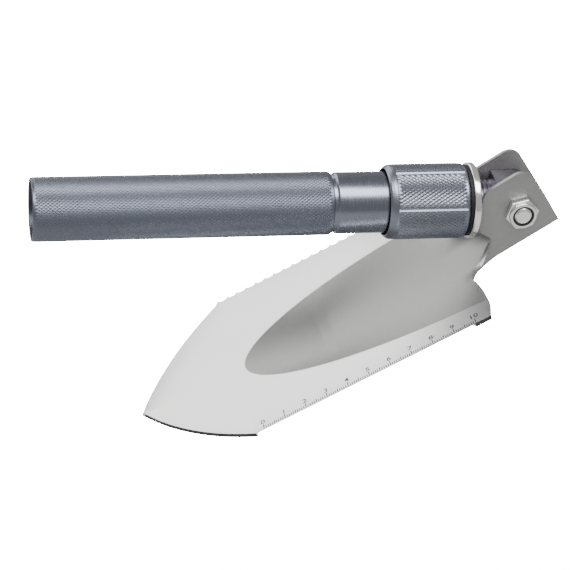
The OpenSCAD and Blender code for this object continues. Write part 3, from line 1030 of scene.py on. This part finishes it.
def build_blade():
    piece = build_sheet()
    edit(piece)
    bpy.ops.mesh.select_all(action="SELECT")
    bpy.ops.mesh.remove_doubles(threshold=0.01)
    leave_edit()
    group = grind_ruler_edge(piece)
    upward = sum(face.normal.z * face.area for face in piece.data.polygons)
    apply_modifier(piece, "SOLIDIFY", "sheet", thickness=settings("blade").sheet,
                   offset=-1 if upward > 0 else 1, use_even_offset=False,
                   vertex_group=group.name, thickness_vertex_group=0.0)
    # The edge round the point and at the shoulder's corners is left as it was sheared, and coloured
    # dark: painted shade, for the edge in shadow.
    for face in piece.data.polygons:
        centre = face.center
        corner = centre.x < GRIND_START and abs(centre.y) > HALF_WIDTH - 1
        if abs(face.normal.z) < 0.5 and (centre.x > SIDE_END or corner):
            face.material_index = 2
    drill_pivot(piece)
    piece.data.transform(blade_matrix(FOLD_ANGLE))
    piece.data.update()
    edit(piece)
    bpy.ops.mesh.select_all(action="SELECT")
    bpy.ops.mesh.normals_make_consistent(inside=False)
    leave_edit()
    apply_modifier(piece, "BEVEL", "broken edges", width=0.22 * MM, segments=2,
                   limit_method="ANGLE", angle_limit=math.radians(50))
    smooth(piece, 40)
    paint(piece, material(blasted_steel), material(ground_steel), material(sheared_steel))
    settle(piece, "blade", "blade_steel", "blade")


# ---- ruler ----

RULER_ZERO, RULER_LENGTH = 138.0, 100
# Length of the marks at 10, 5 and 1 mm, and the height of marks and numbers over the steel.
TEN_MARK, FIVE_MARK, ONE_MARK = 3.6, 2.7, 1.9
MARK_DEPTH = 0.06
MARK_GAP, NUMBER_GAP = 0.5, 6.2
# The font's size over the height of its digits.
FONT_SHARE = 1.35


def on_face(piece, offset):
    """Lays a flat mesh, drawn in u and v, on the blade's upper face and carries it there."""
    for vert in piece.data.vertices:
        vert.co.z += face_w(vert.co.x, vert.co.y) + offset
    piece.data.transform(blade_matrix(FOLD_ANGLE))
    piece.data.update()


def ruler_mark(step, width):
    """One mark, flat in the blade's frame, at a number of millimetres along the ruler."""
    length = TEN_MARK if step % 10 == 0 else FIVE_MARK if step % 5 == 0 else ONE_MARK
    deselect()
    bpy.ops.mesh.primitive_cube_add(size=1)
    mark = name_piece("mark")
    place = Matrix.Translation((RULER_ZERO - step, HALF_WIDTH - MARK_GAP - length / 2, 0))
    mark.data.transform(place @ Matrix.Diagonal((width, length, MARK_DEPTH, 1)))
    edit(mark)
    bpy.ops.mesh.select_all(action="SELECT")
    bpy.ops.mesh.bevel(offset=0.02, segments=1)
    leave_edit()
    return mark


def ruler_number(number, height):
    """One number, flat in the blade's frame. It reads from the tip towards the shoulder."""
    deselect()
    bpy.ops.object.text_add()
    text = bpy.context.active_object
    text.data.body = str(number)
    text.data.size = height * FONT_SHARE
    text.data.extrude = MARK_DEPTH / 2
    text.data.offset = 0.03
    text.data.align_x = "CENTER"
    text.data.align_y = "CENTER"
    bpy.ops.object.convert(target="MESH")
    digit = name_piece("number")
    place = Matrix.Translation((RULER_ZERO - 10 * number, HALF_WIDTH - NUMBER_GAP, 0))
    digit.data.transform(place @ Matrix.Rotation(math.pi, 4, "Z"))
    return digit


def build_ruler():
    ruler = settings("ruler")
    parts = [ruler_mark(step, ruler.line_width) for step in range(RULER_LENGTH + 1)]
    parts += [ruler_number(number, ruler.number_height)
              for number in range(RULER_LENGTH // 10 + 1)]
    piece = join(parts, "ruler_marks")
    piece.matrix_world = Matrix.Identity(4)
    on_face(piece, MARK_DEPTH / 2 - 0.01)
    paint(piece, material(moulded_plastic, "laser mark, dark grey", "2A2A2C", 0.7))
    settle(piece, "blade", "blade_steel")


# ---- stage ----

# The camera's place in millimetres, the directions of its own axes, and its lens.
CAMERA_PLACE = Vector((-74.4, -807.06, 461.81))
CAMERA_RIGHT = Vector((0.98108, -0.17787, 0.07640))
CAMERA_UP = Vector((0.02859, 0.52346, 0.85157))
CAMERA_BACK = Vector((-0.19146, -0.83328, 0.51864))
LENS, SENSOR = 140.766, 36.0
# How brightly the paper glows to the camera only, and the sky's light on the shovel.
PAPER_GLOW, SKY_LIGHT = 40.0, 0.45


def build_camera():
    data = bpy.data.cameras.new("camera")
    data.sensor_width = SENSOR
    data.lens = LENS
    data.clip_end = 20
    data.dof.use_dof = False
    camera = bpy.data.objects.new("camera", data)
    bpy.context.scene.collection.objects.link(camera)
    turn = Matrix((CAMERA_RIGHT, CAMERA_UP, CAMERA_BACK)).transposed().to_4x4()
    camera.matrix_world = Matrix.Translation(CAMERA_PLACE * MM) @ turn
    bpy.context.scene.camera = camera


def soft_light(name, place, target, width, height, power):
    data = bpy.data.lights.new(name, "AREA")
    data.shape = "RECTANGLE"
    data.size, data.size_y = width, height
    data.energy = power
    light = bpy.data.objects.new(name, data)
    bpy.context.scene.collection.objects.link(light)
    back = (Vector(place) - Vector(target)).normalized()
    turn = back.to_track_quat("Z", "Y").to_matrix().to_4x4()
    light.matrix_world = Matrix.Translation(place) @ turn


def white_paper():
    # Matt white paper. The camera sees it glow, so no shadow shows on it, and the shovel
    # is lit by its matt side.
    paper, tree = new_material("white paper")
    place = add(tree, "ShaderNodeTexCoord").outputs["Object"]
    fibre = add(tree, "ShaderNodeTexNoise", links={"Vector": place}, values={"Scale": 900.0})
    bump = add(tree, "ShaderNodeBump", links={"Height": fibre.outputs["Fac"]},
               values={"Strength": 0.05, "Distance": 0.0001})
    matt = add(tree, "ShaderNodeBsdfPrincipled", links={"Normal": bump.outputs[0]},
               values={"Base Color": colour("B4B4B4"), "Roughness": 0.9})
    glow = add(tree, "ShaderNodeEmission", values={"Strength": PAPER_GLOW})
    seen = add(tree, "ShaderNodeLightPath").outputs["Is Camera Ray"]
    shader = add(tree, "ShaderNodeMixShader",
                 links={0: seen, 1: matt.outputs[0], 2: glow.outputs[0]})
    finish_material(tree, shader)
    return paper


def build_sky():
    world = bpy.context.scene.world or bpy.data.worlds.new("studio")
    bpy.context.scene.world = world
    world.use_nodes = True
    world.node_tree.nodes.clear()
    sky = add(world.node_tree, "ShaderNodeBackground",
              values={"Color": colour("FFFFFF"), "Strength": SKY_LIGHT})
    add(world.node_tree, "ShaderNodeOutputWorld", links={"Surface": sky.outputs[0]})


def build_stage():
    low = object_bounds()[0]
    deselect()
    bpy.ops.mesh.primitive_plane_add(size=8, location=(0.1, 0, low[2] - 0.0005))
    floor = name_piece("floor")
    bpy.ops.object.transform_apply(location=True, rotation=True, scale=True)
    paint(floor, white_paper())
    floor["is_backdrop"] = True
    build_sky()
    middle = (0.12, 0, -0.02)
    soft_light("key above", (0.05, -0.4, 1.2), middle, 1.6, 0.7, 34)
    soft_light("back left", (-0.4, 1.0, 0.5), middle, 1.5, 0.8, 9)
    build_camera()


# ---- operators ----

class SHOVEL_OT_tube(bpy.types.Operator):
    """Build the knurled handle tube"""
    bl_idname = "shovel.tube"
    bl_label = "Handle tube"

    def execute(self, context):
        build_handle_tube()
        return {"FINISHED"}


class SHOVEL_OT_ferrule(bpy.types.Operator):
    """Build the turned ferrule"""
    bl_idname = "shovel.ferrule"
    bl_label = "Ferrule"

    def execute(self, context):
        build_ferrule()
        return {"FINISHED"}


class SHOVEL_OT_collar(bpy.types.Operator):
    """Build the knurled lock collar"""
    bl_idname = "shovel.collar"
    bl_label = "Lock collar"

    def execute(self, context):
        build_collar()
        return {"FINISHED"}


class SHOVEL_OT_rings(bpy.types.Operator):
    """Build the friction ring and the clamp washer"""
    bl_idname = "shovel.rings"
    bl_label = "Rings"

    def execute(self, context):
        build_rings()
        return {"FINISHED"}


class SHOVEL_OT_stem(bpy.types.Operator):
    """Finish the stem and its pin"""
    bl_idname = "shovel.stem"
    bl_label = "Stem"

    def execute(self, context):
        build_stem()
        return {"FINISHED"}


class SHOVEL_OT_bolt(bpy.types.Operator):
    """Build the hinge bolt"""
    bl_idname = "shovel.bolt"
    bl_label = "Bolt"

    def execute(self, context):
        build_bolt()
        return {"FINISHED"}


class SHOVEL_OT_nut(bpy.types.Operator):
    """Build the hinge nut and its insert"""
    bl_idname = "shovel.nut"
    bl_label = "Nut"

    def execute(self, context):
        build_nut()
        return {"FINISHED"}


class SHOVEL_OT_blade(bpy.types.Operator):
    """Build the pressed blade with its ears"""
    bl_idname = "shovel.blade"
    bl_label = "Blade"

    def execute(self, context):
        build_blade()
        return {"FINISHED"}


class SHOVEL_OT_ruler(bpy.types.Operator):
    """Build the marks of the ruler"""
    bl_idname = "shovel.ruler"
    bl_label = "Ruler"

    def execute(self, context):
        build_ruler()
        return {"FINISHED"}


class SHOVEL_OT_stage(bpy.types.Operator):
    """Build the floor, the lights and the camera"""
    bl_idname = "shovel.stage"
    bl_label = "Stage"

    def execute(self, context):
        build_stage()
        return {"FINISHED"}


OPERATORS = [
    SHOVEL_OT_tube, SHOVEL_OT_ferrule, SHOVEL_OT_collar, SHOVEL_OT_rings, SHOVEL_OT_stem,
    SHOVEL_OT_bolt, SHOVEL_OT_nut, SHOVEL_OT_blade, SHOVEL_OT_ruler, SHOVEL_OT_stage,
]
SETTINGS = {"knurl": KnurlSettings, "blade": BladeSettings, "ruler": RulerSettings}


class SHOVEL_PT_panel(bpy.types.Panel):
    """Sizes, colours and pieces of the shovel"""
    bl_label = "Folding camp shovel"
    bl_idname = "SHOVEL_PT_panel"
    bl_space_type = "VIEW_3D"
    bl_region_type = "UI"
    bl_category = "Shovel"

    def draw(self, context):
        for group in SETTINGS:
            values = getattr(context.scene, "shovel_" + group)
            for key in values.__annotations__:
                self.layout.prop(values, key)
        for one in OPERATORS:
            self.layout.operator(one.bl_idname)


def register():
    for name, group in SETTINGS.items():
        bpy.utils.register_class(group)
        setattr(bpy.types.Scene, "shovel_" + name, bpy.props.PointerProperty(type=group))
    for one in OPERATORS:
        bpy.utils.register_class(one)
    bpy.utils.register_class(SHOVEL_PT_panel)


def unregister():
    bpy.utils.unregister_class(SHOVEL_PT_panel)
    for one in reversed(OPERATORS):
        bpy.utils.unregister_class(one)
    for name, group in SETTINGS.items():
        delattr(bpy.types.Scene, "shovel_" + name)
        bpy.utils.unregister_class(group)


def main():
    register()
    bpy.ops.shovel.tube()
    bpy.ops.shovel.ferrule()
    bpy.ops.shovel.collar()
    bpy.ops.shovel.rings()
    bpy.ops.shovel.stem()
    bpy.ops.shovel.bolt()
    bpy.ops.shovel.nut()
    bpy.ops.shovel.blade()
    bpy.ops.shovel.ruler()
    bpy.ops.shovel.stage()


if __name__ == "__main__":
    main()
